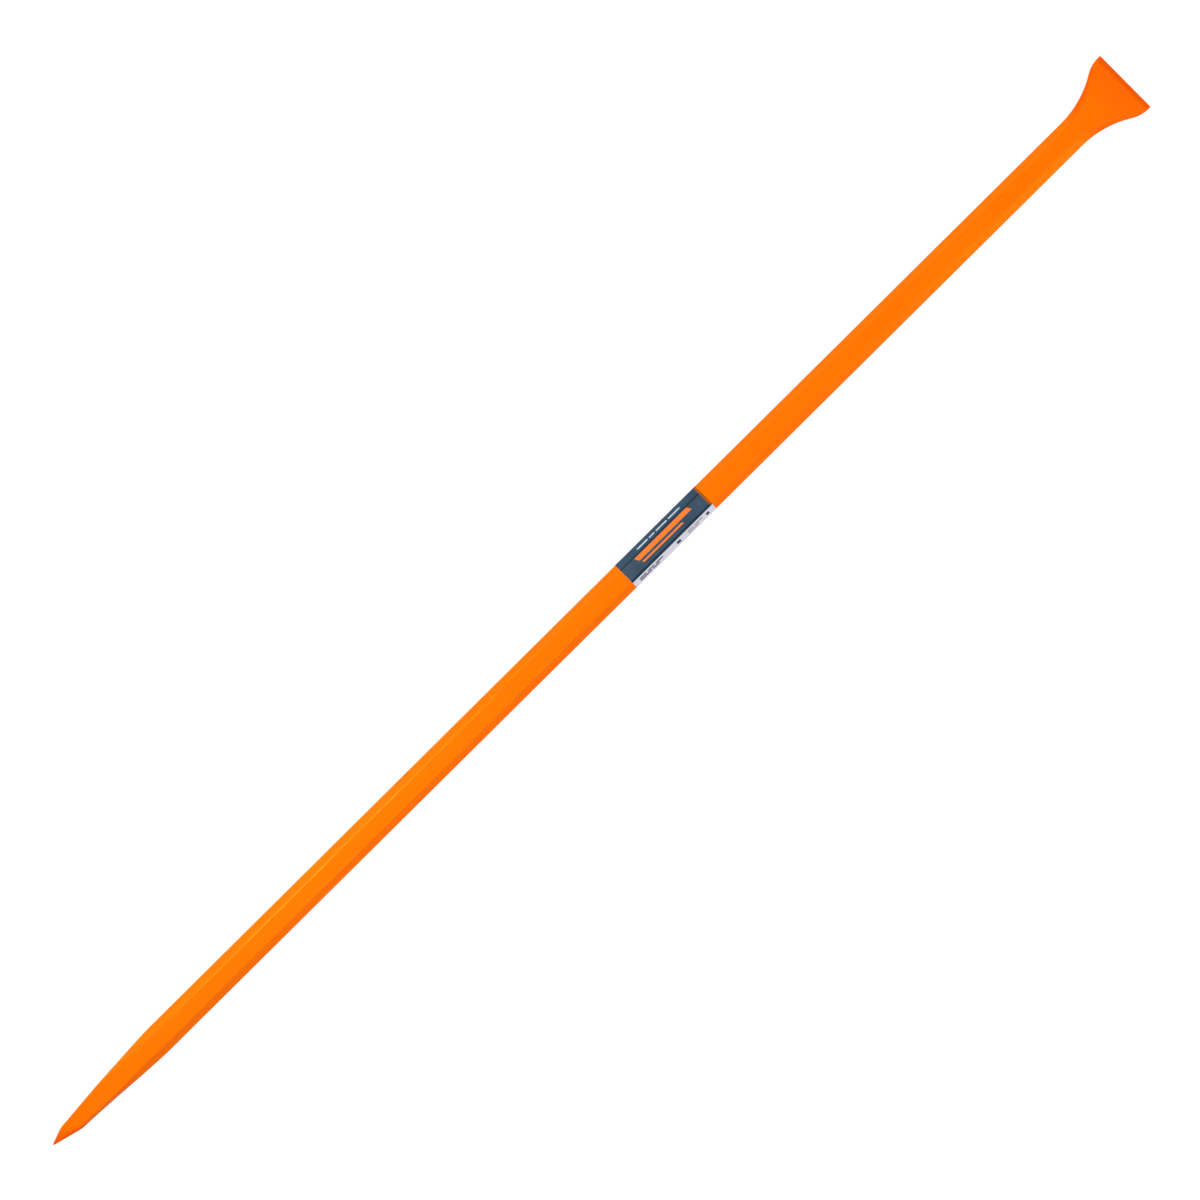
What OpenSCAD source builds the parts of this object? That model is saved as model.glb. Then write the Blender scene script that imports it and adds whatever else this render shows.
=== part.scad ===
// Digging bar: a hexagonal steel bar with a hammered point at one end and a flared chisel at the
// other, and a printed label wrapped round the shank.
// The bar lies along X on one of its flats: the point is at -X, the chisel at +X, the front flat is up.

/* [Shank] */
// Length of the bar from the tip of the point to the cutting edge
bar_length = 1750; // [1400:10:2000]
// Width of the hexagon across its flats
across_flats = 31.75; // [25:0.05:38]
// Radius of the rolled corners of the hexagon
corner_radius = 3; // [0.5:0.1:5]

/* [Chisel end] */
// Width of the cutting edge
blade_width = 83.5; // [60:0.1:120]
// Distance from the cutting edge to where the sides start to flare
flare_length = 88; // [70:1:140]
// Length of the straight sides next to the cutting edge
side_land = 3; // [1:0.5:12]
// Radius of the shoulder where the flare turns into the straight sides
shoulder_radius = 42; // [10:1:50]
// Distance from the cutting edge to where the front and back start to thin
thinning_length = 129; // [100:1:200]
// Length of the curve that eases the flats of the shank into the thinning faces
thinning_ease = 41; // [5:1:80]
// Thickness of the blade where the cutting bevel starts
bevel_thickness = 8; // [4:0.5:16]
// Length of the cutting bevel
bevel_length = 6; // [2:0.5:15]
// Thickness left at the cutting edge
edge_thickness = 2; // [1:0.1:3.5]

/* [Point] */
// Distance from the tip to where the two sides of the point start
side_taper_length = 166; // [100:1:300]
// Distance from the tip to where the front and back of the point start
face_taper_length = 152; // [100:1:300]
// Turn of the hammered faces about the axis of the bar, in degrees
point_roll = 9; // [0:1:20]
// Distance from the tip to the knee on the left side
left_knee = 21; // [10:1:60]
// Distance from the tip to the knee on the right side
right_knee = 33; // [10:1:60]
// Half width of the point at the left knee
left_knee_half = 6.8; // [3:0.1:11]
// Half width of the point at the right knee
right_knee_half = 9.3; // [3:0.1:11]
// Half thickness of the point midway between the knees
face_knee_half = 7.4; // [3:0.1:11]
// Distance of the tip to the right of the axis of the bar
tip_offset = 0.8; // [0:0.1:2]
// Distance that the faces of the tip would run on past its blunt end
tip_overrun = 2.5; // [0.5:0.1:5]
// Width of the softened edges between the hammered faces, measured on each face
edge_softening = 2; // [0.5:0.1:2.8]

/* [Label] */
// Length of the label along the bar
label_length = 130; // [60:1:200]
// Distance from the tip to the middle of the label
label_centre = 1000; // [500:5:1100]
// Thickness of the printed film
label_film = 0.15; // [0.1:0.01:0.5]
// Distance between the edges of the label and the flat that the bar lies on
label_setback = 5; // [3:0.5:12]

/* [Smoothness] */
// Flats in each rounded corner of the hexagon
corner_steps = 4; // [2:1:6]
// Distance between the sections of the chisel end
section_gap = 4; // [2:0.5:8]

/* [Hidden] */

PAINT_ORANGE = [0.99, 0.48, 0.02];
LABEL_SLATE = [0.25, 0.33, 0.41];

// The hexagon's corners are this far apart round the axis, and each turns by the same angle
CORNER_TURN = 60;
HALF_TURN = CORNER_TURN / 2;
CORNERS = 360 / CORNER_TURN;
half_flats = across_flats / 2;
half_corners = half_flats / cos(HALF_TURN);

tip_x = -bar_length / 2;
edge_x = bar_length / 2;
head_length = max(flare_length, thinning_length);
head_x = edge_x - head_length;

// Flattened hexagon: every section of the bar has two flats, four slanted faces at 60 degrees
// and six rounded corners, so that the shank and the chisel end share one description

// Direction of a corner from the axis, counted from the left
function corner_way(corner) = [cos(corner * CORNER_TURN), sin(corner * CORNER_TURN)];

// Sharp corner: the first and the fourth are at the sides, the others at the ends of the flats
function corner_point(corner, half_width, half_thick) =
    let (way = corner_way(corner))
    corner % (CORNERS / 2) == 0
    ? [way[0] * half_width, 0]
    : [sign(way[0]) * (half_width - half_thick * tan(HALF_TURN)), sign(way[1]) * half_thick];

// Points of one rounded corner, lifted off the section by the thickness of a film
function corner_arc(corner, half_width, half_thick, radius, lift = 0) =
    let (
        sharp = corner_point(corner, half_width, half_thick),
        centre = sharp - radius / cos(HALF_TURN) * corner_way(corner)
    )
    [
        for (step = [0 : corner_steps])
            let (angle = corner * CORNER_TURN - HALF_TURN + step * CORNER_TURN / corner_steps)
            centre + (radius + lift) * [cos(angle), sin(angle)]
    ];

function section(half_width, half_thick, radius) = [
    for (corner = [0 : CORNERS - 1]) each corner_arc(corner, half_width, half_thick, radius)
];

shank_section = section(half_corners, half_flats, corner_radius);

// What a rounding takes off the reach of a sharp corner
function rounding_loss(radius) = radius / cos(HALF_TURN) - radius;

// Reach of the rounded hexagon in a direction that is this far from its nearest corner
function hexagon_reach(off_corner) =
    (half_corners - corner_radius / cos(HALF_TURN)) * cos(off_corner) + corner_radius;
shank_reach = hexagon_reach(0);

// Chisel end, by distance from the cutting edge

// The flare is an ogee: a hollow arc that leaves the shank meets the shoulder's arc with one slope
flare_rise = blade_width / 2 - shank_reach;
flare_run = flare_length - side_land;
flare_angle = 2 * atan(flare_rise / flare_run);
hollow_radius = flare_run / sin(flare_angle) - shoulder_radius;
flare_turn = side_land + shoulder_radius * sin(flare_angle);

// Height of an arc that starts level, after a run along the bar
function arc_rise(radius, run) = radius - sqrt(radius * radius - run * run);

function head_half_width(from_edge) =
    from_edge >= flare_length ? shank_reach
    : from_edge >= flare_turn ? shank_reach + arc_rise(hollow_radius, flare_length - from_edge)
    : from_edge >= side_land ? blade_width / 2 - arc_rise(shoulder_radius, from_edge - side_land)
    : blade_width / 2;

// Front and back ease from the flats into straight slopes, then the cutting bevel starts
thinning_run = thinning_length - bevel_length;
thinning_slope = (half_flats - bevel_thickness / 2) / (thinning_run - thinning_ease / 2);
bevel_slope = (bevel_thickness - edge_thickness) / 2 / bevel_length;

function thinned_half(run) =
    run <= 0 ? half_flats
    : run <= thinning_ease ? half_flats - thinning_slope * run * run / thinning_ease / 2
    : half_flats - thinning_slope * (run - thinning_ease / 2);

function head_half_thick(from_edge) =
    from_edge < bevel_length
    ? edge_thickness / 2 + bevel_slope * from_edge
    : thinned_half(thinning_length - from_edge);

// The corners get sharper as the blade thins
CORNER_SHARE = 0.6;
function head_corner_radius(from_edge) = min(corner_radius, CORNER_SHARE * head_half_thick(from_edge));

// Even sections down to the bevel, and one more at the cutting edge
head_sections = ceil((head_length - bevel_length) / section_gap);
head_stations = [
    for (step = [0 : head_sections]) head_length - step * (head_length - bevel_length) / head_sections,
    0
];

function head_ring(from_edge) =
    let (
        radius = head_corner_radius(from_edge),
        half_width = head_half_width(from_edge) + rounding_loss(radius)
    )
    [
        for (place = section(half_width, head_half_thick(from_edge), radius))
            [edge_x - from_edge, place[0], place[1]]
    ];

// Skin over a row of rings that all have the same number of points
module loft(rings) {
    count = len(rings[0]);
    last = len(rings) - 1;
    sides = [
        for (ring = [0 : last - 1], i = [0 : count - 1])
            let (
                next = (i + 1) % count,
                near = ring * count,
                far = near + count
            )
            each [[near + i, far + next, near + next], [near + i, far + i, far + next]]
    ];
    start_cap = [for (i = [0 : count - 1]) i];
    end_cap = [for (i = [count - 1 : -1 : 0]) last * count + i];
    polyhedron([for (ring = rings) each ring], concat(sides, [start_cap, end_cap]));
}

// Point, by distance from the tip, on axes turned with its hammered faces

side_root_half = hexagon_reach(point_roll);
face_root_half = hexagon_reach(HALF_TURN - point_roll);

// Straight taper through a knee and a root
function taper(from_tip, knee, knee_half, root, root_half) =
    knee_half + (from_tip - knee) * (root_half - knee_half) / (root - knee);

function left_half(from_tip) =
    taper(from_tip, left_knee, left_knee_half, side_taper_length, side_root_half);
function right_half(from_tip) =
    taper(from_tip, right_knee, right_knee_half, side_taper_length, side_root_half);
function face_half(from_tip) =
    taper(from_tip, (left_knee + right_knee) / 2, face_knee_half, face_taper_length, face_root_half);

// Outline of the taper: two points at each of its four softened corners, from the left of the
// front round to the left of the back, with each side cut at its own distance from the tip
function taper_ring(left_from_tip, right_from_tip) = [
    for (corner = [0 : 3])
        let (
            is_left = corner == 0 || corner == 3,
            is_front = corner < 2,
            x = is_left ? left_from_tip : right_from_tip,
            y = is_left ? left_half(x) : -right_half(x),
            z = is_front ? face_half(x) : -face_half(x),
            on_side = [x, y, z - sign(z) * edge_softening],
            on_face = [x, y - sign(y) * edge_softening, z]
        )
        each corner % 2 == 0 ? [on_side, on_face] : [on_face, on_side]
];

// A four-sided taper that ends in a short, steeper pyramid. Past its root it opens on and clears
// the shank, and the end of the bar cuts off its tip
module point_blank() {
    tip = [[-tip_overrun, -tip_offset, 0]];
    knees = taper_ring(left_knee, right_knee);
    mouth = taper_ring(bar_length, bar_length);
    count = len(knees);
    pyramid = [for (i = [0 : count - 1]) [0, 1 + i, 1 + (i + 1) % count]];
    tapers = [
        for (i = [0 : count - 1])
            let (next = (i + 1) % count)
            [1 + next, 1 + i, 1 + count + i, 1 + count + next]
    ];
    mouth_cap = [for (i = [count - 1 : -1 : 0]) 1 + count + i];
    translate([tip_x, 0, half_flats])
        rotate([-point_roll, 0, 0])
            polyhedron(concat(tip, knees, mouth), concat(pyramid, tapers, [mouth_cap]));
}

// Straight length of a section along the bar, between two places on X
module along_bar(outline, from_x, to_x) {
    translate([from_x, 0, half_flats])
        rotate([90, 0, 90])
            linear_extrude(to_x - from_x)
                polygon(outline);
}

module forged_bar() {
    color(PAINT_ORANGE) {
        intersection() {
            along_bar(shank_section, tip_x, head_x);
            point_blank();
        }
        translate([0, 0, half_flats])
            loft([for (from_edge = head_stations) head_ring(from_edge)]);
    }
}

// The film follows the shank's own outline from one lower face over the front to the other

// Corners that the film goes round, and those of the flat that the bar lies on
LEFT_SIDE = 0;
RIGHT_SIDE = 3;
RIGHT_FOOT = 4;
LEFT_FOOT = 5;

// Edge of the film, on the slanted face between a foot and the side above it
function label_edge(foot, side, normal, lift) =
    let (
        start = corner_point(foot, half_corners, half_flats),
        along = corner_point(side, half_corners, half_flats) - start
    )
    start + along * label_setback / norm(along) + lift * [cos(normal), sin(normal)];

function label_path(lift) = concat(
    [label_edge(LEFT_FOOT, LEFT_SIDE, -HALF_TURN, lift)],
    [
        for (corner = [LEFT_SIDE : RIGHT_SIDE])
            each corner_arc(corner, half_corners, half_flats, corner_radius, lift)
    ],
    [label_edge(RIGHT_FOOT, RIGHT_SIDE, RIGHT_SIDE * CORNER_TURN + HALF_TURN, lift)]
);

module wrap_label() {
    inner = label_path(0);
    outer = label_path(label_film);
    back = [for (i = [len(inner) - 1 : -1 : 0]) inner[i]];
    middle = tip_x + label_centre;
    color(LABEL_SLATE)
        along_bar(concat(outer, back), middle - label_length / 2, middle + label_length / 2);
}

forged_bar();
wrap_label();
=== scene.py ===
import math

import bpy
import numpy as np
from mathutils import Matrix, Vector, noise


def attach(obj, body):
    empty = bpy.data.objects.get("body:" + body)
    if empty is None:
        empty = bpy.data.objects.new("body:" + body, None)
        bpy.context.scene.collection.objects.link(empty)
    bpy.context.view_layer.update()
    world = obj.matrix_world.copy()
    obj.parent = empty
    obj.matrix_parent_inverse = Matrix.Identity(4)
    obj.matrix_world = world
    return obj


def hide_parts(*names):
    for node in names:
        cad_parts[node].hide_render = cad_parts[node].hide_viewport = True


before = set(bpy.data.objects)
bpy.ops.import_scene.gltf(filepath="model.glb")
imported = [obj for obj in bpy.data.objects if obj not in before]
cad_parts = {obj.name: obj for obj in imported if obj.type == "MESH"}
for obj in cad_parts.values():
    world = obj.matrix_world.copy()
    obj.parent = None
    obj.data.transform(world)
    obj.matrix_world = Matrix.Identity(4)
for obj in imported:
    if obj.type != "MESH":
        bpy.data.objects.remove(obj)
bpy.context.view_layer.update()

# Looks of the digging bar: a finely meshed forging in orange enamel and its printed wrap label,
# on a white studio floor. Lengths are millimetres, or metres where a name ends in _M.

MM = 0.001

# Sizes of the bar, the same as in its CAD source

BAR_LENGTH = 1750.0
ACROSS_FLATS = 31.75
HALF_FLATS = ACROSS_FLATS / 2
CORNER_RADIUS = 3.0
CORNERS = 6
CORNER_TURN = math.radians(360 / CORNERS)
HALF_TURN = CORNER_TURN / 2
HALF_CORNERS = HALF_FLATS / math.cos(HALF_TURN)
TIP_X = -BAR_LENGTH / 2
EDGE_X = BAR_LENGTH / 2

BLADE_WIDTH = 83.5
FLARE_LENGTH = 88.0
SIDE_LAND = 3.0
SHOULDER_RADIUS = 42.0
THINNING_LENGTH = 129.0
THINNING_EASE = 41.0
BEVEL_THICKNESS = 8.0
BEVEL_LENGTH = 6.0
EDGE_THICKNESS = 2.0
CORNER_SHARE = 0.6

SIDE_TAPER_LENGTH = 166.0
FACE_TAPER_LENGTH = 152.0
POINT_ROLL = math.radians(9)
LEFT_KNEE = 21.0
RIGHT_KNEE = 33.0
LEFT_KNEE_HALF = 6.8
RIGHT_KNEE_HALF = 9.3
FACE_KNEE_HALF = 7.4
TIP_OFFSET = 0.8
TIP_OVERRUN = 2.5
EDGE_SOFTENING = 2.0

LABEL_LENGTH = 130.0
LABEL_FROM_TIP = 1000.0
LABEL_CENTRE_X = TIP_X + LABEL_FROM_TIP
LABEL_FILM = 0.15
LABEL_SETBACK = 5.0

# Smooth joins and steps


def soft_max(a, b, blend):
    """The larger of two fields, rounded where they differ by less than the blend."""
    near = np.maximum(blend - np.abs(a - b), 0.0)
    return np.maximum(a, b) + near * near / (4 * blend)


def soft_min(a, b, blend):
    """The smaller of two fields, rounded where they differ by less than the blend."""
    return -soft_max(-a, -b, blend)


def fade(value, start, end):
    """0 at start and 1 at end, with a smooth change between them."""
    share = min(1.0, max(0.0, (value - start) / (end - start)))
    return share * share * (3 - 2 * share)


def hump(from_tip, middle, reach):
    """Smooth bump of height 1 along the bar."""
    return np.exp(-(((from_tip - middle) / reach) ** 2))


# Section of the bar: a flattened hexagon with rounded corners, as rows of (y, z). Its corners are
# counted round from the left side.

LEFT_SIDE = 0
RIGHT_SIDE = 3
RIGHT_FOOT = 4
LEFT_FOOT = 5
ARC_STEPS = 8
FACE_STEPS = 20
RING = CORNERS * (ARC_STEPS + FACE_STEPS)


def face_shares():
    """Places along a face between two corners, closer together towards its ends."""
    even = np.arange(1, FACE_STEPS) / FACE_STEPS
    eased = (1 - np.cos(np.pi * even)) / 2
    return (even + eased) / 2


def corner_way(corner):
    """Direction from the axis to a corner."""
    turn = corner * CORNER_TURN
    return np.array([math.cos(turn), math.sin(turn)])


def corner_arc(corner, half_width, half_thick, radius, lift=0.0, steps=ARC_STEPS):
    """Points of one rounded corner, lifted off the section where a film lies on it."""
    way = corner_way(corner)
    if corner in (LEFT_SIDE, RIGHT_SIDE):
        sharp = np.array([way[0] * half_width, 0.0])
    else:
        flat_end = half_width - half_thick * math.tan(HALF_TURN)
        sharp = np.array([np.sign(way[0]) * flat_end, np.sign(way[1]) * half_thick])
    centre = sharp - radius / math.cos(HALF_TURN) * way
    angles = corner * CORNER_TURN - HALF_TURN + np.arange(steps + 1) * CORNER_TURN / steps
    return centre + (radius + lift) * np.stack([np.cos(angles), np.sin(angles)], 1)


def section(half_width, half_thick, radius):
    """One ring of the bar: six arcs, with points shared out over the faces between them."""
    arcs = [corner_arc(corner, half_width, half_thick, radius) for corner in range(CORNERS)]
    shares = face_shares()[:, None]
    rows = []
    for corner in range(CORNERS):
        start = arcs[corner][-1]
        end = arcs[(corner + 1) % CORNERS][0]
        rows.append(arcs[corner])
        rows.append(start + shares * (end - start))
    return np.concatenate(rows)


def rounding_loss(radius):
    """How far a rounded corner falls short of the sharp one."""
    return radius / math.cos(HALF_TURN) - radius


def hexagon_reach(off_corner):
    """Reach of the rounded hexagon in a direction this far from its nearest corner."""
    return (HALF_CORNERS - CORNER_RADIUS / math.cos(HALF_TURN)) * math.cos(off_corner) + CORNER_RADIUS


SHANK_RING = section(HALF_CORNERS, HALF_FLATS, CORNER_RADIUS)
SHANK_REACH = hexagon_reach(0)

# Chisel end, by distance from the cutting edge

BEVEL_BLEND = 0.5
EDGE_ROUNDING = 0.45
FLARE_RISE = BLADE_WIDTH / 2 - SHANK_REACH
FLARE_RUN = FLARE_LENGTH - SIDE_LAND
FLARE_ANGLE = 2 * math.atan(FLARE_RISE / FLARE_RUN)
HOLLOW_RADIUS = FLARE_RUN / math.sin(FLARE_ANGLE) - SHOULDER_RADIUS
FLARE_TURN = SIDE_LAND + SHOULDER_RADIUS * math.sin(FLARE_ANGLE)
THINNING_RUN = THINNING_LENGTH - BEVEL_LENGTH
THINNING_SLOPE = (HALF_FLATS - BEVEL_THICKNESS / 2) / (THINNING_RUN - THINNING_EASE / 2)
BEVEL_SLOPE = (BEVEL_THICKNESS - EDGE_THICKNESS) / 2 / BEVEL_LENGTH


def arc_rise(radius, run):
    """How far an arc has left its tangent after a run along the tangent."""
    return radius - math.sqrt(radius * radius - run * run)


def head_half_width(from_edge):
    """Half width: the shank, the hollow arc of the flare, its shoulder and a short straight land."""
    if from_edge >= FLARE_LENGTH:
        return SHANK_REACH
    if from_edge >= FLARE_TURN:
        return SHANK_REACH + arc_rise(HOLLOW_RADIUS, FLARE_LENGTH - from_edge)
    if from_edge >= SIDE_LAND:
        return BLADE_WIDTH / 2 - arc_rise(SHOULDER_RADIUS, from_edge - SIDE_LAND)
    return BLADE_WIDTH / 2


def head_half_thick(from_edge):
    """Half thickness: an eased slope from the shank, then the cutting bevel."""
    run = THINNING_LENGTH - from_edge
    if run <= 0:
        return HALF_FLATS
    if run <= THINNING_EASE:
        return HALF_FLATS - THINNING_SLOPE * run * run / THINNING_EASE / 2
    slope = HALF_FLATS - THINNING_SLOPE * (run - THINNING_EASE / 2)
    bevel = EDGE_THICKNESS / 2 + BEVEL_SLOPE * from_edge
    return float(soft_min(slope, bevel, BEVEL_BLEND))


def head_ring(from_edge):
    """Ring of the chisel end, drawn in a little over the last part to round the blunt edge."""
    half_thick = head_half_thick(from_edge)
    half_width = head_half_width(from_edge)
    short = max(0.0, EDGE_ROUNDING - from_edge)
    drawn_in = EDGE_ROUNDING - math.sqrt(EDGE_ROUNDING ** 2 - short ** 2)
    half_thick -= drawn_in
    half_width -= drawn_in
    radius = min(CORNER_RADIUS, CORNER_SHARE * half_thick)
    return section(half_width + rounding_loss(radius), half_thick, radius)


# Point, by distance from the tip, on axes turned with its hammered faces

KNEE_BLEND = 0.8
EDGE_BLEND = 2.4
HEX_BLEND = 0.8
CENTRE_RUN = 40.0
KNEE_SWELL = 0.6
KNEE_SWELL_AT = 38.0
KNEE_SWELL_REACH = 10.0
SIDE_HOLLOW = 0.75
SIDE_HOLLOW_AT = 88.0
SIDE_HOLLOW_REACH = 27.0
TIP_ROUNDING = 0.8
TIP_FLAT = 0.45
SOLVE_STEPS = 40
SIDE_ROOT_HALF = hexagon_reach(POINT_ROLL)
FACE_ROOT_HALF = hexagon_reach(HALF_TURN - POINT_ROLL)
FACE_KNEE = (LEFT_KNEE + RIGHT_KNEE) / 2


def taper(from_tip, knee, knee_half, root, root_half):
    """Half width on the straight line from a knee to the root of the taper."""
    return knee_half + (from_tip - knee) * (root_half - knee_half) / (root - knee)


def left_half(from_tip):
    """Half width of the long taper on the left."""
    return taper(from_tip, LEFT_KNEE, LEFT_KNEE_HALF, SIDE_TAPER_LENGTH, SIDE_ROOT_HALF)


def right_half(from_tip):
    """Half width of the long taper on the right, fuller at its knee and a little hollow behind it."""
    straight = taper(from_tip, RIGHT_KNEE, RIGHT_KNEE_HALF, SIDE_TAPER_LENGTH, SIDE_ROOT_HALF)
    swell = KNEE_SWELL * hump(from_tip, KNEE_SWELL_AT, KNEE_SWELL_REACH)
    return straight + swell - SIDE_HOLLOW * hump(from_tip, SIDE_HOLLOW_AT, SIDE_HOLLOW_REACH)


def face_half(from_tip):
    """Half depth of the long taper, the same at the front and the back."""
    return taper(from_tip, FACE_KNEE, FACE_KNEE_HALF, FACE_TAPER_LENGTH, FACE_ROOT_HALF)


def left_steep(from_tip):
    """Half width of the steep pyramid at the tip, on the left."""
    run = from_tip + TIP_OVERRUN
    return run * (LEFT_KNEE_HALF + TIP_OFFSET) / (LEFT_KNEE + TIP_OVERRUN) - TIP_OFFSET


def right_steep(from_tip):
    """Half width of the steep pyramid at the tip, on the right."""
    run = from_tip + TIP_OVERRUN
    return run * (RIGHT_KNEE_HALF - TIP_OFFSET) / (RIGHT_KNEE + TIP_OVERRUN) + TIP_OFFSET


def pyramid_face():
    """Slopes along and across of the steep front face through the apex and the two knees."""
    rows = [
        [LEFT_KNEE + TIP_OVERRUN, LEFT_KNEE_HALF - EDGE_SOFTENING + TIP_OFFSET],
        [RIGHT_KNEE + TIP_OVERRUN, -RIGHT_KNEE_HALF + EDGE_SOFTENING + TIP_OFFSET],
    ]
    return np.linalg.solve(np.array(rows), np.array([face_half(LEFT_KNEE), face_half(RIGHT_KNEE)]))


FACE_ALONG, FACE_ACROSS = pyramid_face()


def hexagon_field(y, z):
    """Distance from the rounded hexagon of the shank, negative inside."""
    reach = np.hypot(y, z)
    turn = np.mod(np.arctan2(z, y), CORNER_TURN) - HALF_TURN
    out = reach * np.cos(turn) - (HALF_FLATS - CORNER_RADIUS)
    side = np.abs(reach * np.sin(turn)) - (HALF_FLATS - CORNER_RADIUS) * math.tan(HALF_TURN)
    return np.where(side <= 0, out, np.hypot(out, side)) - CORNER_RADIUS


def point_field(from_tip, y, z):
    """Distance from the hammered point, negative inside: its two sides, front and back."""
    turned_y = y * math.cos(POINT_ROLL) - z * math.sin(POINT_ROLL)
    turned_z = y * math.sin(POINT_ROLL) + z * math.cos(POINT_ROLL)
    left = turned_y - soft_min(left_half(from_tip), left_steep(from_tip), KNEE_BLEND)
    right = -turned_y - soft_min(right_half(from_tip), right_steep(from_tip), KNEE_BLEND)
    run = from_tip + TIP_OVERRUN
    face_steep = FACE_ALONG * run + FACE_ACROSS * (turned_y + TIP_OFFSET)
    face = np.abs(turned_z) - soft_min(face_half(from_tip), face_steep, KNEE_BLEND)
    edge_blend = EDGE_BLEND * np.minimum(1.0, run / (FACE_KNEE + TIP_OVERRUN))
    hammered = soft_max(np.maximum(left, right), face, edge_blend)
    return soft_max(hammered, hexagon_field(y, z), HEX_BLEND)


def point_rings(from_tip):
    """Rings of the point: for each direction round the axis, the reach at which the field is zero."""
    ways = SHANK_RING / np.linalg.norm(SHANK_RING, axis=1)[:, None]
    way_y = ways[:, 0]
    way_z = ways[:, 1]
    along = np.array(from_tip)[:, None]
    shift = -TIP_OFFSET * np.maximum(0.0, 1 - along / CENTRE_RUN)
    centre_y = shift * math.cos(POINT_ROLL)
    centre_z = -shift * math.sin(POINT_ROLL)
    low = np.zeros((len(from_tip), RING))
    high = np.full((len(from_tip), RING), 2 * HALF_CORNERS)
    for _ in range(SOLVE_STEPS):
        reach = (low + high) / 2
        outside = point_field(along, centre_y + reach * way_y, centre_z + reach * way_z) > 0
        high = np.where(outside, reach, high)
        low = np.where(outside, low, reach)
    blunt = np.sqrt(np.clip(1 - (1 - along / TIP_ROUNDING) ** 2, 0, 1))
    drawn_in = (low + high) / 2 * (TIP_FLAT + (1 - TIP_FLAT) * blunt)
    reach = np.where(along < TIP_ROUNDING, drawn_in, low)
    return np.stack([centre_y + reach * way_y, centre_z + reach * way_z], 2)


# Places of the rings, as runs of (start, end, gap): from the tip for the point and the shank, and
# from the cutting edge for the chisel end

POINT_END = 200.0
POINT_RUNS = (
    (0.0, TIP_ROUNDING, 0.2),
    (TIP_ROUNDING, 4.0, 0.8),
    (4.0, 46.0, 1.0),
    (46.0, 100.0, 1.5),
    (100.0, POINT_END, 2.0),
)
SHANK_RUNS = ((POINT_END, BAR_LENGTH - THINNING_LENGTH, 10.0),)
HEAD_RUNS = (
    (THINNING_LENGTH, 90.0, 2.0),
    (90.0, 8.0, 1.4),
    (8.0, 5.0, 0.25),
    (5.0, 1.0, 0.8),
    (1.0, EDGE_ROUNDING, 0.2),
    (EDGE_ROUNDING, 0.0, 0.075),
)


def stations(runs):
    """Places along the bar from runs that follow each other, each place once."""
    places = []
    for start, end, gap in runs:
        count = max(1, round(abs(end - start) / gap))
        places.extend(start + (end - start) * step / count for step in range(count))
    places.append(runs[-1][1])
    return places


def bar_rings():
    """Rings of the whole forging with their places, from the tip to the cutting edge."""
    rings = []
    point_places = stations(POINT_RUNS)
    for from_tip, ring in zip(point_places, point_rings(point_places)):
        rings.append((TIP_X + from_tip, ring))
    for from_tip in stations(SHANK_RUNS)[1:-1]:
        rings.append((TIP_X + from_tip, SHANK_RING))
    for from_edge in stations(HEAD_RUNS):
        rings.append((EDGE_X - from_edge, head_ring(from_edge)))
    return rings


# Small unevenness that forging leaves on the drawn-out ends. It comes in over the first two places
# from the end of the bar, and fades out over the last two.

FORGE_DEPTH = 0.16
FORGE_WAVE = 24.0
FORGE_SQUEEZE = 1.6
FORGED_POINT = (4.0, 30.0, 150.0, 210.0)
FORGED_HEAD = (7.0, 25.0, 100.0, 150.0)


def forge_depth(x, y, z, share):
    """Unevenness at a place, from smooth noise with shorter waves across the bar."""
    place = Vector((x / FORGE_WAVE, y / FORGE_WAVE * FORGE_SQUEEZE, z / FORGE_WAVE * FORGE_SQUEEZE))
    return FORGE_DEPTH * share * noise.noise(place)


def shown_between(value, start, full, last, end):
    """0 up to start, 1 from full to last, and 0 again from end."""
    return fade(value, start, full) * (1 - fade(value, last, end))


def forge_share(x):
    """How much of the unevenness shows: on the point and the chisel, and none at their very ends."""
    return max(shown_between(x - TIP_X, *FORGED_POINT), shown_between(EDGE_X - x, *FORGED_HEAD))


# Mesh of the forging


def tip_cap(centre):
    """Small fan that closes the blunt tip."""
    return [((i + 1) % RING, i, centre) for i in range(RING)]


def edge_cap(start):
    """Strip of the blunt cutting edge, from the middle of the left corner to that of the right."""
    first = ARC_STEPS // 2
    faces = []
    for i in range(first, first + RING // 2):
        upper = [start + i % RING, start + (i + 1) % RING]
        lower = [start + (ARC_STEPS - i - 1) % RING, start + (ARC_STEPS - i) % RING]
        corners = []
        for index in upper + lower:
            if index not in corners:
                corners.append(index)
        faces.append(tuple(corners))
    return faces


def bar_mesh():
    """Closed mesh of the forging in metres: faces between its rings, a tip cap and an edge cap."""
    rings = bar_rings()
    verts = []
    for x, ring in rings:
        share = forge_share(x)
        for y, z in ring:
            depth = forge_depth(x, y, z, share) if share > 0 else 0.0
            stretch = 1 + depth / HALF_FLATS
            verts.append((x * MM, y * MM, max(0.0, HALF_FLATS + z * stretch) * MM))
    faces = []
    for row in range(len(rings) - 1):
        near = row * RING
        far = near + RING
        for i in range(RING):
            after = (i + 1) % RING
            faces.append((near + i, near + after, far + after, far + i))
    faces.extend(tip_cap(len(verts)))
    verts.append(tuple(np.mean(verts[:RING], 0)))
    faces.extend(edge_cap((len(rings) - 1) * RING))
    return verts, faces


# Painted shade on faces turned from the lamps: the tip, the blade and its bevel, the flanks of the flare

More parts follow.
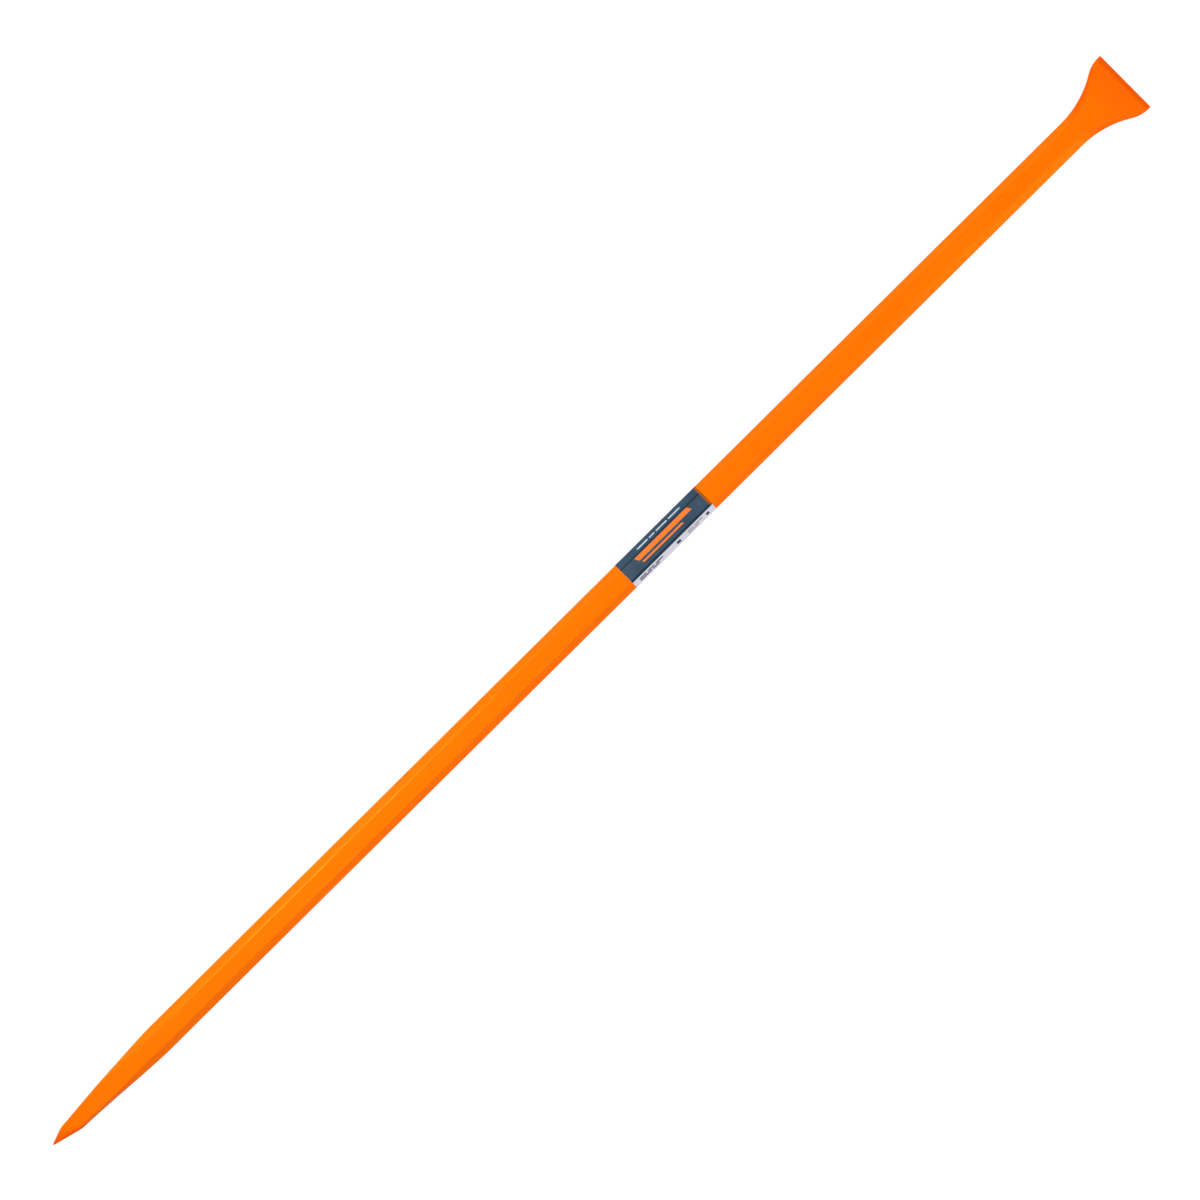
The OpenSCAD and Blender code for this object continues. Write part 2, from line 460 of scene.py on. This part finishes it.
TIP_SHADE = 0.85
TIP_FLANK_SHADE = 0.9
TIP_FLANK_REACH = 6.5
TIP_FLANK_FADE = 15.0
BEVEL_SHADE = 0.85
BEVEL_FADE = 1.5
BLADE_SHADE = 0.4
BLADE_SHADE_START = 60.0
FLANK_SHADE = 0.9
FLANK_FADE = 2.0
FLARE_FADE = 30.0


def tip_flank_shade(from_tip, y):
    """Painted shade beside the right edge of the steep tip, gone a little behind its knee."""
    from_side = min(right_steep(from_tip), right_half(from_tip)) + y
    along = 1 - fade(from_tip, RIGHT_KNEE, RIGHT_KNEE + TIP_FLANK_FADE)
    return TIP_FLANK_SHADE * along * fade(from_side, TIP_FLANK_REACH, 0.0)


def painted_shade_depth(x, y):
    """Depth of the painted shade at a place, from 0 on the plain shank to 1."""
    from_tip = x - TIP_X
    from_edge = EDGE_X - x
    across = min(1.0, max(0.0, 0.5 + y / (LEFT_KNEE_HALF + RIGHT_KNEE_HALF)))
    knee = RIGHT_KNEE + (LEFT_KNEE - RIGHT_KNEE) * across
    on_tip = TIP_SHADE * fade(from_tip, knee, 0.0)
    if from_edge > FLARE_LENGTH:
        return 1 - (1 - on_tip) * (1 - tip_flank_shade(from_tip, y))
    on_blade = BLADE_SHADE * fade(from_edge, BLADE_SHADE_START, BEVEL_LENGTH)
    on_bevel = BEVEL_SHADE * fade(from_edge, BEVEL_LENGTH + BEVEL_FADE, BEVEL_LENGTH - BEVEL_FADE)
    flat_end = head_half_width(from_edge) - head_half_thick(from_edge) * math.tan(HALF_TURN)
    on_flank = FLANK_SHADE * fade(abs(y), flat_end - FLANK_FADE, flat_end + FLANK_FADE)
    flared = fade(from_edge, FLARE_LENGTH, FLARE_LENGTH - FLARE_FADE)
    return max(on_blade, on_bevel, on_flank * flared)


# Wrap label: a thin closed film over five faces, with its ends lifted unevenly by a hair

LABEL_GAP = 1.0
LABEL_FACE_STEPS = 28
LABEL_ARC_STEPS = 10
INNER = 0
OUTER = 1
END_LIFT = 0.12
END_LIFT_RUN = 6.0
LIFT_WAVE_ALONG = 14.0
LIFT_WAVE_AROUND = 9.0
LIFT_SLICE = 3.0


def label_edge(foot, side, normal, lift):
    """Edge of the film, on the slanted face between a foot and the side above it."""
    start = HALF_CORNERS * corner_way(foot)
    end = HALF_CORNERS * corner_way(side)
    along = (end - start) / np.linalg.norm(end - start)
    return start + along * LABEL_SETBACK + lift * np.array([math.cos(normal), math.sin(normal)])


def label_path(lift):
    """Points of the film round the shank, from the lower left over the front to the lower right."""
    left_end = label_edge(LEFT_FOOT, LEFT_SIDE, -HALF_TURN, lift)
    right_end = label_edge(RIGHT_FOOT, RIGHT_SIDE, RIGHT_SIDE * CORNER_TURN + HALF_TURN, lift)
    stops = [left_end[None, :]]
    for corner in range(LEFT_SIDE, RIGHT_SIDE + 1):
        stops.append(corner_arc(corner, HALF_CORNERS, HALF_FLATS, CORNER_RADIUS, lift, LABEL_ARC_STEPS))
    stops.append(right_end[None, :])
    shares = (np.arange(1, LABEL_FACE_STEPS) / LABEL_FACE_STEPS)[:, None]
    rows = [stops[0]]
    for before, after in zip(stops, stops[1:]):
        rows.append(before[-1] + shares * (after[0] - before[-1]))
        rows.append(after)
    return np.concatenate(rows)


def around_of(path):
    """Length along the film from the middle of the front face, positive to the left."""
    steps = np.linalg.norm(np.diff(path, axis=0), axis=1)
    length = np.concatenate([[0.0], np.cumsum(steps)])
    return length[-1] / 2 - length


def film_faces(columns, count):
    """Faces of the film: its inner and outer layers, then its two long edges, then its two ends."""
    top = columns * count
    last = count - 1
    end = (columns - 1) * count
    faces = []
    for column in range(columns - 1):
        for i in range(count - 1):
            near = column * count + i
            far = near + count
            faces.append((near, far, far + 1, near + 1))
            faces.append((top + near, top + near + 1, top + far + 1, top + far))
    for column in range(columns - 1):
        near = column * count
        far = near + count
        faces.append((near, top + near, top + far, far))
        faces.append((near + last, far + last, top + far + last, top + near + last))
    for i in range(count - 1):
        faces.append((i, i + 1, top + i + 1, top + i))
        faces.append((end + i, top + end + i, top + end + i + 1, end + i + 1))
    return faces


def label_mesh():
    """Closed mesh of the film in metres, with each point's place along and around it."""
    inner = label_path(0.0)
    outward = (label_path(LABEL_FILM) - inner) / LABEL_FILM
    around = around_of(inner)
    columns = round(LABEL_LENGTH / LABEL_GAP) + 1
    verts = []
    coords = []
    for layer in (INNER, OUTER):
        for along in np.linspace(-LABEL_LENGTH / 2, LABEL_LENGTH / 2, columns):
            end_share = fade(LABEL_LENGTH / 2 - abs(along), END_LIFT_RUN, 0.0)
            for i in range(len(inner)):
                wave = Vector((along / LIFT_WAVE_ALONG, around[i] / LIFT_WAVE_AROUND, LIFT_SLICE))
                ripple = (1 + noise.noise(wave)) / 2
                lift = layer * (LABEL_FILM + END_LIFT * end_share * ripple)
                y, z = inner[i] + outward[i] * lift
                verts.append(((LABEL_CENTRE_X + along) * MM, y * MM, (HALF_FLATS + z) * MM))
                coords.append((along, around[i]))
    return verts, film_faces(columns, len(inner)), coords


# The two pieces, with the values that their materials read from the points


def new_piece(name, verts, faces):
    """Smooth-shaded object from points and faces, in the scene."""
    mesh = bpy.data.meshes.new(name)
    mesh.from_pydata(verts, [], faces)
    mesh.validate()
    mesh.shade_smooth()
    piece = bpy.data.objects.new(name, mesh)
    bpy.context.scene.collection.objects.link(piece)
    return piece


def set_values(piece, name, values):
    """Stores one value for each point of a piece."""
    layer = piece.data.attributes.new(name, "FLOAT", "POINT")
    layer.data.foreach_set("value", values)


bar = new_piece("bar_forging", *bar_mesh())
# The painted shade of the enamel, stored for each point of the forging
set_values(bar, "painted_shade", [painted_shade_depth(vert.co.x / MM, vert.co.y / MM) for vert in bar.data.vertices])
film_verts, film_sides, film_coords = label_mesh()
label = new_piece("label_wrap", film_verts, film_sides)
set_values(label, "along", [along for along, _ in film_coords])
set_values(label, "around", [around for _, around in film_coords])

# Materials. Some sockets share a name with others of their node, so they are taken by number.

MIX_FIRST = 6
MIX_SECOND = 7
MIX_RESULT = 2
SHADER_FIRST = 1
SHADER_SECOND = 2


class Nodes:
    """Small helper that adds nodes to a material and links them."""

    def __init__(self, tree):
        """Works on one node tree."""
        self.tree = tree

    def add(self, kind, **settings):
        """New node with its settings."""
        made = self.tree.nodes.new(kind)
        for name, value in settings.items():
            setattr(made, name, value)
        return made

    def link(self, source, target):
        """Joins an output to an input."""
        self.tree.links.new(source, target)

    def put(self, socket, value):
        """Gives an input a link or a constant."""
        if isinstance(value, bpy.types.NodeSocket):
            self.link(value, socket)
        else:
            socket.default_value = value

    def attribute(self, name):
        """Value that the piece stores for each point."""
        return self.add("ShaderNodeAttribute", attribute_name=name).outputs["Fac"]

    def math(self, operation, first, second=0.0, clamp=False):
        """Sum, product or another operation on two values."""
        made = self.add("ShaderNodeMath", operation=operation, use_clamp=clamp)
        self.put(made.inputs[0], first)
        self.put(made.inputs[1], second)
        return made.outputs[0]

    def noise(self, vector, scale, detail=2.0, roughness=0.5):
        """Smooth noise with about this many waves to a unit of its coordinates."""
        made = self.add("ShaderNodeTexNoise")
        self.link(vector, made.inputs["Vector"])
        made.inputs["Scale"].default_value = scale
        made.inputs["Detail"].default_value = detail
        made.inputs["Roughness"].default_value = roughness
        return made.outputs["Fac"]

    def spread(self, value, low, high, out_low=0.0, out_high=1.0):
        """Maps low..high to out_low..out_high, held at both ends."""
        made = self.add("ShaderNodeMapRange", clamp=True)
        self.put(made.inputs["Value"], value)
        made.inputs["From Min"].default_value = low
        made.inputs["From Max"].default_value = high
        made.inputs["To Min"].default_value = out_low
        made.inputs["To Max"].default_value = out_high
        return made.outputs["Result"]

    def mix(self, share, first, second):
        """Colour between two colours."""
        made = self.add("ShaderNodeMix", data_type="RGBA")
        self.put(made.inputs["Factor"], share)
        self.put(made.inputs[MIX_FIRST], first)
        self.put(made.inputs[MIX_SECOND], second)
        return made.outputs[MIX_RESULT]

    def bump(self, height, distance, strength, normal=None):
        """Fine relief, on top of another one where asked."""
        made = self.add("ShaderNodeBump")
        made.inputs["Distance"].default_value = distance
        made.inputs["Strength"].default_value = strength
        self.link(height, made.inputs["Height"])
        if normal is not None:
            self.link(normal, made.inputs["Normal"])
        return made.outputs["Normal"]

    def stretched(self, scale):
        """Object coordinates scaled per axis, so that a pattern may run along the bar."""
        coords = self.add("ShaderNodeTexCoord")
        made = self.add("ShaderNodeMapping")
        self.link(coords.outputs["Object"], made.inputs["Vector"])
        made.inputs["Scale"].default_value = scale
        return made.outputs["Vector"]


def new_material(name):
    """New material with the helper for its nodes and its Principled shader."""
    material = bpy.data.materials.new(name)
    material.use_nodes = True
    shader = material.node_tree.nodes["Principled BSDF"]
    return material, Nodes(material.node_tree), shader


def clear_coat(nodes, shader, weight, roughness, relief):
    """Gives a shader all its gloss as a thin coat, and one relief to the coat and the paint under it."""
    shader.inputs["Specular IOR Level"].default_value = 0.0
    shader.inputs["Coat Weight"].default_value = weight
    shader.inputs["Coat Roughness"].default_value = roughness
    nodes.link(relief, shader.inputs["Normal"])
    nodes.link(relief, shader.inputs["Coat Normal"])


# Enamel: its colours and gloss, then its patterns, with the waves of each one in a metre across the bar

ENAMEL_DEEP = (0.99, 0.16, 0.0006, 1.0)
ENAMEL_LIGHT = (1.0, 0.175, 0.0008, 1.0)
ENAMEL_SHADED = (0.97, 0.1, 0.0006, 1.0)
ENAMEL_COAT = 0.05
ENAMEL_COAT_ROUGHNESS = 0.16
ENAMEL_ROUGHNESS = (0.36, 0.48)
EVEN_SCALE = (1.0, 1.0, 1.0)
DRAWN_SCALE = (0.25, 1.0, 1.0)
CLOUD_WAVES = 22.0
CLOUD_DETAIL = 3.0
SPECKLE_WAVES = 160.0
SPECKLE_SHARE = 0.35
TONE_SPAN = (0.4, 0.95)
GLOSS_WAVES = 60.0
GLOSS_DETAIL = 4.0
GLOSS_GRAIN = 0.6
GLOSS_SPAN = (0.3, 0.7)
SWELL_WAVES = 45.0
SWELL_HEIGHT_M = 0.0004
SWELL_STRENGTH = 0.1
PEEL_WAVES = 520.0
PEEL_HEIGHT_M = 0.00002
PEEL_STRENGTH = 0.5


def orange_enamel():
    """Smooth sprayed enamel: faint tone changes, orange peel, a slightly uneven gloss, and painted shade
    on the tip, blade and flare flanks.
    """
    material, nodes, shader = new_material("orange_enamel")
    place = nodes.stretched(EVEN_SCALE)
    drawn = nodes.stretched(DRAWN_SCALE)
    clouds = nodes.noise(drawn, CLOUD_WAVES, CLOUD_DETAIL)
    speckle = nodes.math("MULTIPLY", nodes.noise(place, SPECKLE_WAVES), SPECKLE_SHARE)
    share = nodes.spread(nodes.math("ADD", clouds, speckle), *TONE_SPAN)
    colour = nodes.mix(share, ENAMEL_DEEP, ENAMEL_LIGHT)
    # Painted shade: the enamel goes to a deeper red orange where the forging's faces turn from the light
    colour = nodes.mix(nodes.attribute("painted_shade"), colour, ENAMEL_SHADED)
    nodes.link(colour, shader.inputs["Base Color"])
    gloss = nodes.noise(place, GLOSS_WAVES, GLOSS_DETAIL, GLOSS_GRAIN)
    nodes.link(nodes.spread(gloss, *GLOSS_SPAN, *ENAMEL_ROUGHNESS), shader.inputs["Roughness"])
    swells = nodes.bump(nodes.noise(drawn, SWELL_WAVES), SWELL_HEIGHT_M, SWELL_STRENGTH)
    peel = nodes.bump(nodes.noise(place, PEEL_WAVES), PEEL_HEIGHT_M, PEEL_STRENGTH, swells)
    clear_coat(nodes, shader, ENAMEL_COAT, ENAMEL_COAT_ROUGHNESS, peel)
    return material


# Film: its colours and gloss, then its patterns

SLATE = (0.042, 0.081, 0.13, 1.0)
SLATE_DEEP = (0.034, 0.063, 0.1, 1.0)
CREASE_SHADE = (0.008, 0.016, 0.026, 1.0)
PALE = (0.68, 0.67, 0.76, 1.0)
INK_ORANGE = (0.9, 0.2, 0.03, 1.0)
INK_PALE = (0.45, 0.55, 0.65, 1.0)
INK_GREY = (0.075, 0.073, 0.09, 1.0)
INK_LIGHT_GREY = (0.33, 0.32, 0.36, 1.0)
LIP_SHADOW_AMBER = (0.36, 0.095, 0.006, 1.0)
FILM_COAT = 0.05
FILM_COAT_ROUGHNESS = 0.42
FILM_ROUGHNESS = (0.4, 0.55)
MOTTLE_WAVES = 70.0
MOTTLE_DETAIL = 4.0
MOTTLE_SPAN = (0.35, 0.65)
FILM_GLOSS_WAVES = 90.0
FILM_GLOSS_DETAIL = 3.0
RIPPLE_SCALE = (1.0, 0.4, 0.4)
RIPPLE_WAVES = 160.0
RIPPLE_HEIGHT_M = 0.00012
RIPPLE_STRENGTH = 0.4

# Print, by places along the label from its middle and around it from the middle of the front face.
# A stripe is (low along, high along, low around, high around), and a line of bars is (low around,
# high around, the low and high places along of each bar).

PRINT_SOFTNESS = 0.12
STRIPE_SLANT = 0.6
STRIPES = ((-40.0, 45.0, 1.8, 7.4), (-40.0, 24.0, -3.2, -1.0))
PALE_PRINT = ((14.8, 18.0, ((-34.0, -17.0), (-14.5, -6.0), (-3.5, 14.0), (16.5, 35.0))),)
DARK_PRINT = (
    (-18.8, -16.2, ((-56.0, -45.0), (-43.0, -32.0), (-30.0, -18.0))),
    (-22.8, -20.2, ((-56.0, -38.0), (-36.0, -25.0))),
    (-22.4, -16.6, ((4.0, 10.0), (51.5, 56.0))),
)
GREY_PRINT = (
    (-18.8, -16.2, ((22.0, 31.0), (33.0, 46.0))),
    (-22.8, -20.2, ((22.0, 39.0),)),
)
PALE_STRIP = (-60.0, -12.4)
CREASE_PLACES = (9.2, -9.2)
CREASE_HALF = 0.9
CREASE_SOFTNESS = 0.6
CREASE_SHADE_DEPTH = 0.9
LIP_ALONG = (62.0, 80.0)
LIP_AROUND = (-10.0, 24.0)
LIP_SOFTNESS = 0.5


def label_film():
    """Printed film: a slate field with plain stripes and bars, a pale strip with plain grey bars,
    painted shade along its folds and a painted shadow on its clear lip.
    """
    material, nodes, shader = new_material("label_film")
    along = nodes.attribute("along")
    around = nodes.attribute("around")

    def band(value, low, high, soft=PRINT_SOFTNESS):
        """1 between two places on the film and 0 outside, with a soft print edge."""
        rise = nodes.spread(value, low - soft, low + soft)
        drop = nodes.spread(value, high - soft, high + soft, 1.0, 0.0)
        return nodes.math("MULTIPLY", rise, drop)

    def stripe(low_along, high_along, low_around, high_around):
        """Plain printed stripe with slanted ends."""
        lean = nodes.math("ADD", along, nodes.math("MULTIPLY", around, STRIPE_SLANT))
        length = band(lean, low_along, high_along)
        return nodes.math("MULTIPLY", length, band(around, low_around, high_around))

    def bars(low_around, high_around, places):
        """A printed line of plain bars."""
        share = 0.0
        for low_along, high_along in places:
            share = nodes.math("ADD", band(along, low_along, high_along), share)
        return nodes.math("MULTIPLY", share, band(around, low_around, high_around))

    place = nodes.stretched(EVEN_SCALE)
    mottle = nodes.spread(nodes.noise(place, MOTTLE_WAVES, MOTTLE_DETAIL), *MOTTLE_SPAN)
    colour = nodes.mix(mottle, SLATE_DEEP, SLATE)
    for row in STRIPES:
        colour = nodes.mix(stripe(*row), colour, INK_ORANGE)
    for line in PALE_PRINT:
        colour = nodes.mix(bars(*line), colour, INK_PALE)
    colour = nodes.mix(band(around, *PALE_STRIP), colour, PALE)
    for line in DARK_PRINT:
        colour = nodes.mix(bars(*line), colour, INK_GREY)
    for line in GREY_PRINT:
        colour = nodes.mix(bars(*line), colour, INK_LIGHT_GREY)
    # Painted shade: the film made darker along its two folds over the front corners
    for middle in CREASE_PLACES:
        crease = band(around, middle - CREASE_HALF, middle + CREASE_HALF, CREASE_SOFTNESS)
        colour = nodes.mix(nodes.math("MULTIPLY", crease, CREASE_SHADE_DEPTH), colour, CREASE_SHADE)
    # The clear lip of the film past the print at its upper end, coloured as the orange under it in a
    # painted shadow of the lifted end
    lip = nodes.math("MULTIPLY", band(along, *LIP_ALONG, LIP_SOFTNESS), band(around, *LIP_AROUND))
    nodes.link(nodes.mix(lip, colour, LIP_SHADOW_AMBER), shader.inputs["Base Color"])
    gloss = nodes.noise(place, FILM_GLOSS_WAVES, FILM_GLOSS_DETAIL)
    nodes.link(nodes.spread(gloss, *GLOSS_SPAN, *FILM_ROUGHNESS), shader.inputs["Roughness"])
    waves = nodes.noise(nodes.stretched(RIPPLE_SCALE), RIPPLE_WAVES)
    ripples = nodes.bump(waves, RIPPLE_HEIGHT_M, RIPPLE_STRENGTH)
    clear_coat(nodes, shader, FILM_COAT, FILM_COAT_ROUGHNESS, ripples)
    return material


bar.data.materials.append(orange_enamel())
label.data.materials.append(label_film())
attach(bar, "root")
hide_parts("forged_bar")
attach(label, "root")
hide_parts("wrap_label")

# Floor and world: white for the camera and for reflections, and soft light for everything else

FLOOR_HALF_M = 40.0
FLOOR_DROP_M = 0.0003
FLOOR_SIGNS = ((-1, -1), (1, -1), (1, 1), (-1, 1))
FLOOR_COLOUR = (0.5, 0.5, 0.5, 1.0)
WHITE = (1.0, 1.0, 1.0, 1.0)
FLOOR_SHOW = 0.78
FLOOR_WHITE = 1.2
SKY_EVEN = 0.2
SKY_SIDES = 1.26
SKY_POWER = 2.0


def seen_share(nodes):
    """1 for the rays that show the background, directly, in a reflection or through glass."""
    path = nodes.add("ShaderNodeLightPath")
    share = nodes.math("ADD", path.outputs["Is Camera Ray"], path.outputs["Is Glossy Ray"], clamp=True)
    return nodes.math("ADD", share, path.outputs["Is Transmission Ray"], clamp=True)


def mix_to_output(nodes, share, first, second, output):
    """Sends a mix of two shaders to the output of a material or world."""
    both = nodes.add("ShaderNodeMixShader")
    nodes.link(share, both.inputs["Fac"])
    nodes.link(first, both.inputs[SHADER_FIRST])
    nodes.link(second, both.inputs[SHADER_SECOND])
    nodes.link(both.outputs["Shader"], nodes.add(output).inputs["Surface"])


def white_floor():
    """Floor that shows white and still takes the shadow of the object."""
    material = bpy.data.materials.new("white_floor")
    material.use_nodes = True
    material.node_tree.nodes.clear()
    nodes = Nodes(material.node_tree)
    matte = nodes.add("ShaderNodeBsdfDiffuse")
    matte.inputs["Color"].default_value = FLOOR_COLOUR
    glow = nodes.add("ShaderNodeEmission")
    glow.inputs["Color"].default_value = WHITE
    glow.inputs["Strength"].default_value = FLOOR_WHITE
    share = nodes.math("MULTIPLY", seen_share(nodes), FLOOR_SHOW)
    shaders = (matte.outputs["BSDF"], glow.outputs["Emission"])
    mix_to_output(nodes, share, *shaders, "ShaderNodeOutputMaterial")
    return material


def studio_world():
    """Studio light, brightest along both sides of the bar, in front of a white background."""
    world = bpy.data.worlds.new("studio")
    world.use_nodes = True
    world.node_tree.nodes.clear()
    nodes = Nodes(world.node_tree)
    coords = nodes.add("ShaderNodeTexCoord")
    parts = nodes.add("ShaderNodeSeparateXYZ")
    nodes.link(coords.outputs["Generated"], parts.inputs["Vector"])
    sides = nodes.math("MULTIPLY", nodes.math("POWER", parts.outputs["Y"], SKY_POWER), SKY_SIDES)
    light = nodes.add("ShaderNodeBackground")
    nodes.link(nodes.math("ADD", sides, SKY_EVEN), light.inputs["Strength"])
    shown = nodes.add("ShaderNodeBackground")
    for background in (light, shown):
        background.inputs["Color"].default_value = WHITE
    shaders = (light.outputs["Background"], shown.outputs["Background"])
    mix_to_output(nodes, seen_share(nodes), *shaders, "ShaderNodeOutputWorld")
    return world


floor_corners = [(x * FLOOR_HALF_M, y * FLOOR_HALF_M, -FLOOR_DROP_M) for x, y in FLOOR_SIGNS]
floor = new_piece("floor", floor_corners, [range(len(floor_corners))])
floor.data.materials.append(white_floor())
bpy.context.scene.world = studio_world()

# Lamps: name, place, the place along the bar that it is turned to, length and width, all in metres,
# and power in watts

SOFT_LAMPS = (
    ("top_lamp", (-0.3, 0.0, 1.0), -0.3, 1.0, 0.3, 5.5),
    ("key_lamp", (-0.42, 0.6, 0.95), -0.42, 0.8, 0.12, 2.5),
    ("left_lamp", (-0.62, 1.0, 0.25), -0.62, 0.5, 0.4, 4.1),
    ("right_lamp", (-0.2, -1.0, 0.25), -0.2, 0.8, 0.4, 0.6),
    ("head_left_lamp", (0.77, 0.5, 0.22), 0.77, 0.3, 0.3, 1.15),
    ("head_right_lamp", (0.77, -0.5, 0.22), 0.77, 0.3, 0.3, 1.65),
    ("edge_lamp", (1.75, 0.0, 0.42), 0.87, 0.3, 0.3, 1.5),
)
GLINT_LAMP = ("glint_lamp", (-0.48, 0.49, 1.0), -0.48, 0.58, 0.5, 157.0)
GLINT_COLOUR = (1.0, 0.88, 0.07)


def soft_box(name, place, aim_x, length, width, power):
    """Studio lamp turned to a place on the axis of the bar, long along X."""
    data = bpy.data.lights.new(name, "AREA")
    data.shape = "RECTANGLE"
    data.size = length
    data.size_y = width
    data.energy = power
    lamp = bpy.data.objects.new(name, data)
    lamp.location = place
    lamp.rotation_mode = "QUATERNION"
    lamp.rotation_quaternion = (Vector((aim_x, 0.0, 0.0)) - Vector(place)).to_track_quat("-Z", "Y")
    lamp.visible_camera = False
    bpy.context.scene.collection.objects.link(lamp)
    return lamp


# The soft lamps light the paint alone. They don't show in the gloss, and a bounced ray that happens
# to meet one brings no light back, because either would leave pale patches on the faces.
for row in SOFT_LAMPS:
    lamp = soft_box(*row)
    lamp.visible_glossy = False
    lamp.data.cycles.use_multiple_importance_sampling = False

# The thin bright line along the upper left corner of the shank is this lamp, seen in the gloss alone
glint_lamp = soft_box(*GLINT_LAMP)
glint_lamp.data.color = GLINT_COLOUR
glint_lamp.visible_diffuse = False

# Camera: straight down on the bar, turned so that the bar runs from lower left to upper right

FRAME_WIDTH_M = 1.3908
LENS = 150.0
SENSOR = 36.0
CLIP_END_M = 200.0
VIEW_ROLL = math.radians(-44.75)
VIEW_CENTRE_M = (0.0194, 0.00174)

camera_data = bpy.data.cameras.new("camera")
camera_data.lens = LENS
camera_data.sensor_width = SENSOR
camera_data.clip_end = CLIP_END_M
camera = bpy.data.objects.new("camera", camera_data)
camera.location = (*VIEW_CENTRE_M, HALF_FLATS * MM + FRAME_WIDTH_M * LENS / SENSOR)
camera.rotation_euler = (0.0, 0.0, VIEW_ROLL)
bpy.context.scene.collection.objects.link(camera)
bpy.context.scene.camera = camera
bpy.context.scene.view_settings.view_transform = "Standard"
